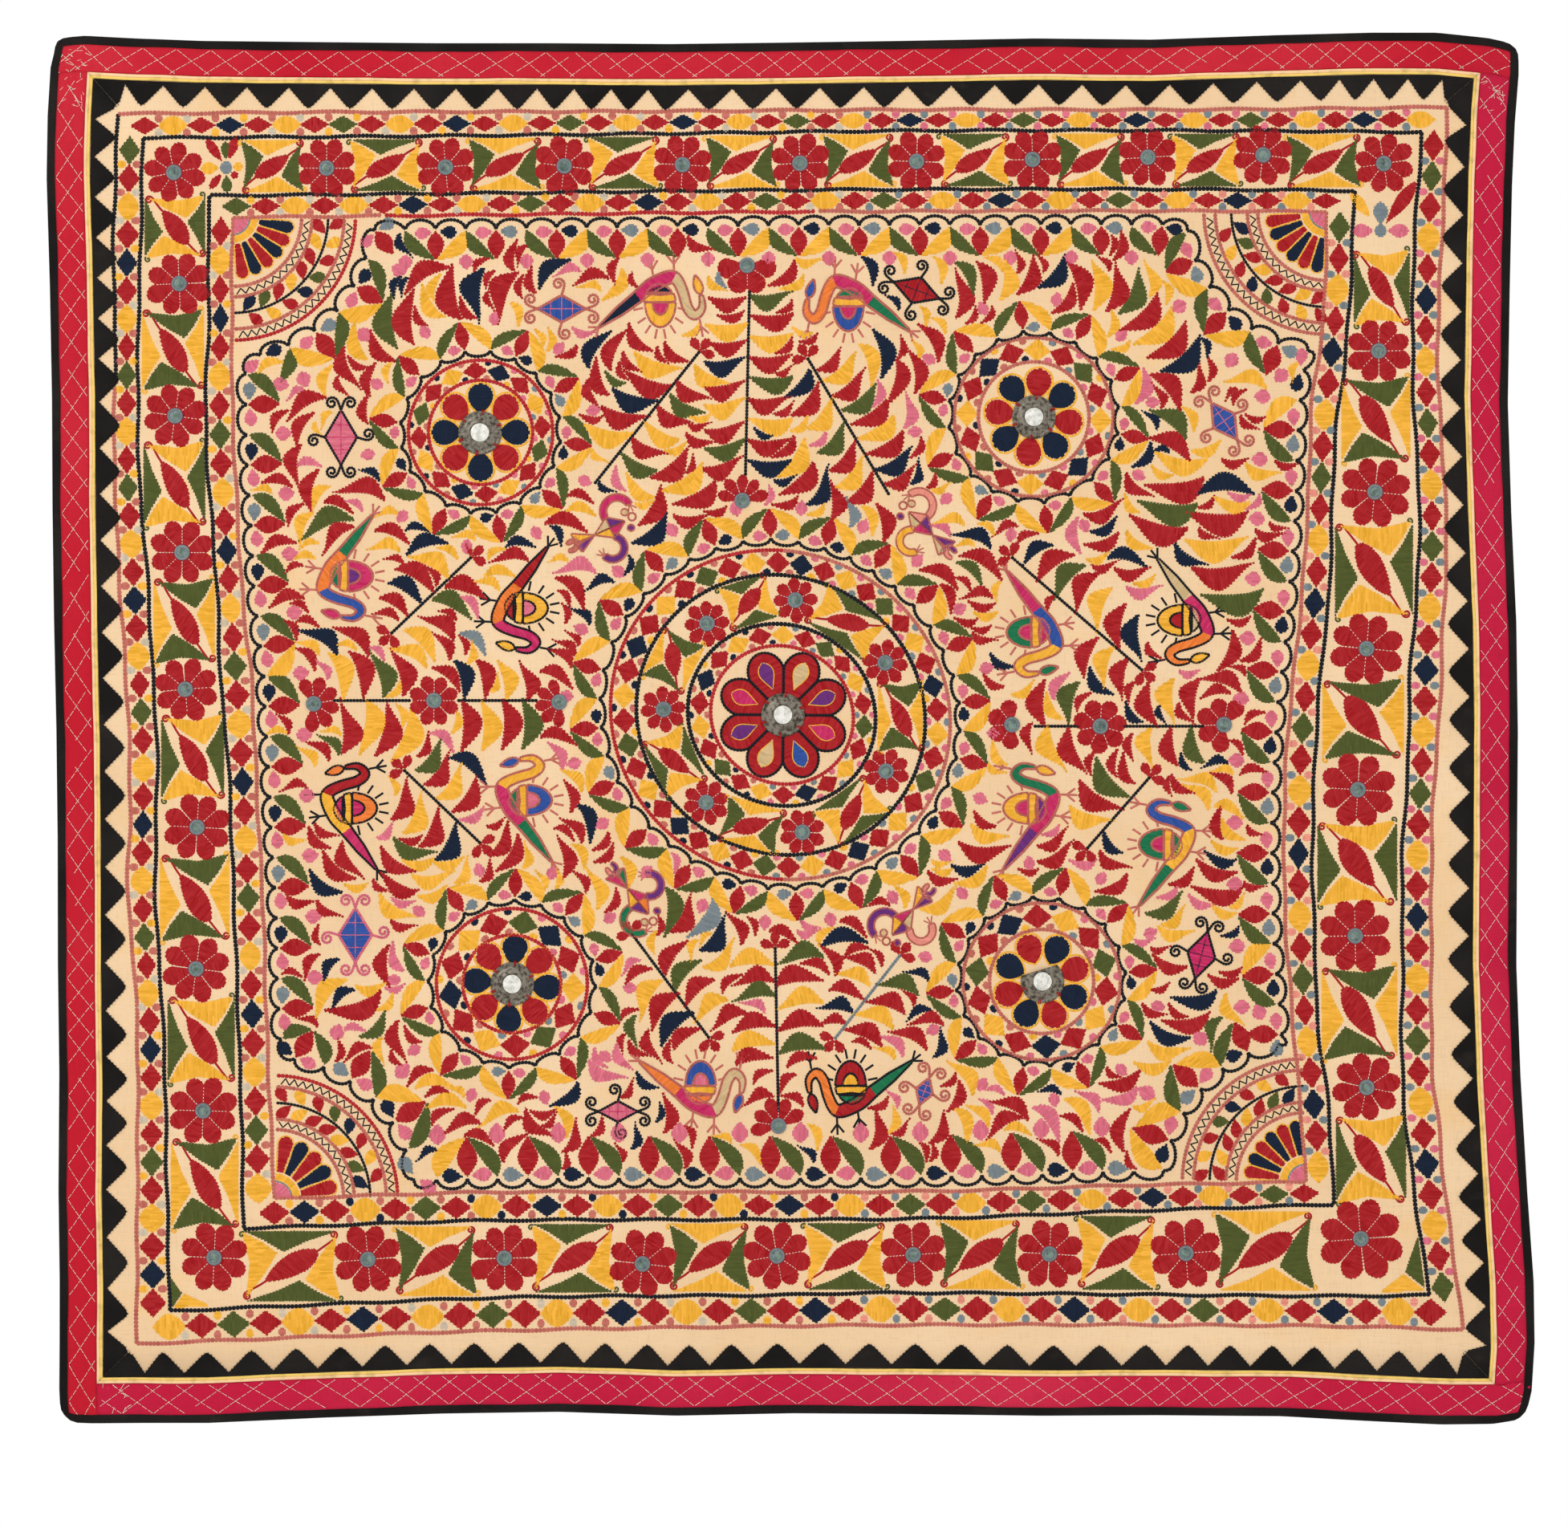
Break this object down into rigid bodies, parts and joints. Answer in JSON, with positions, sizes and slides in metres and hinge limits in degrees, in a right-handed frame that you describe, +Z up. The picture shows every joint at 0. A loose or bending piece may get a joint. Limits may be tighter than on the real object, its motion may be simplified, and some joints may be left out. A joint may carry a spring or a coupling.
{
  "type": "embroidered wall hanging",
  "caption": "Embroidered cotton wall hanging: cream cloth worked with flowers, leaves, birds and mirrors, with a black tooth-edged strip, piping, a quilted red border and black binding.",
  "frame": {"origin": "middle of the top edge, in the plane of the cloth's back", "axes": "+X across the hanging to the right of its worked face, +Z up, the worked face looks along -Y"},
  "size_m": [1.7144, 0.0124, 1.6034],
  "materials": {
    "cream_cotton": "hand-woven cotton",
    "black_cotton": "plain cotton",
    "piping_cotton": "rolled cotton",
    "red_cotton": "quilted cotton",
    "boss_metal": "stamped and tarnished",
    "mirror_glass": "worn silvered glass",
    "mirror_rim": "silvered glass in a stitched ring"
  },
  "bodies": {
    "root": {"ground_cloth": "cream_cotton", "tooth_strip_top": "black_cotton", "piping_top": "piping_cotton", "red_border_top": "red_cotton", "binding_top": "black_cotton", "tooth_strip_bottom": "black_cotton", "piping_bottom": "piping_cotton", "red_border_bottom": "red_cotton", "binding_bottom": "black_cotton", "tooth_strip_left": "black_cotton", "piping_left": "piping_cotton", "red_border_left": "red_cotton", "binding_left": "black_cotton", "tooth_strip_right": "black_cotton", "piping_right": "piping_cotton", "red_border_right": "red_cotton", "binding_right": "black_cotton", "boss_centre": "boss_metal", "mirror_centre": "mirror_glass", "boss_top_left": "boss_metal", "mirror_top_left": "mirror_glass", "boss_top_right": "boss_metal", "mirror_top_right": "mirror_glass", "boss_bottom_left": "boss_metal", "mirror_bottom_left": "mirror_glass", "boss_bottom_right": "boss_metal", "mirror_bottom_right": "mirror_glass", "flower_mirror_top_left": "mirror_rim", "flower_mirror_top_right": "mirror_rim", "flower_mirror_bottom_right": "mirror_rim", "flower_mirror_bottom_left": "mirror_rim", "flower_mirror_top_1": "mirror_rim", "flower_mirror_top_2": "mirror_rim", "flower_mirror_top_3": "mirror_rim", "flower_mirror_top_4": "mirror_rim", "flower_mirror_top_5": "mirror_rim", "flower_mirror_top_6": "mirror_rim", "flower_mirror_top_7": "mirror_rim", "flower_mirror_top_8": "mirror_rim", "flower_mirror_top_9": "mirror_rim", "flower_mirror_right_1": "mirror_rim", "flower_mirror_right_2": "mirror_rim", "flower_mirror_right_3": "mirror_rim", "flower_mirror_right_4": "mirror_rim", "flower_mirror_right_5": "mirror_rim", "flower_mirror_right_6": "mirror_rim", "flower_mirror_bottom_1": "mirror_rim", "flower_mirror_bottom_2": "mirror_rim", "flower_mirror_bottom_3": "mirror_rim", "flower_mirror_bottom_4": "mirror_rim", "flower_mirror_bottom_5": "mirror_rim", "flower_mirror_bottom_6": "mirror_rim", "flower_mirror_bottom_7": "mirror_rim", "flower_mirror_left_1": "mirror_rim", "flower_mirror_left_2": "mirror_rim", "flower_mirror_left_3": "mirror_rim", "flower_mirror_left_4": "mirror_rim", "flower_mirror_left_5": "mirror_rim", "flower_mirror_left_6": "mirror_rim", "flower_mirror_left_7": "mirror_rim"}
  },
  "joints": []
}
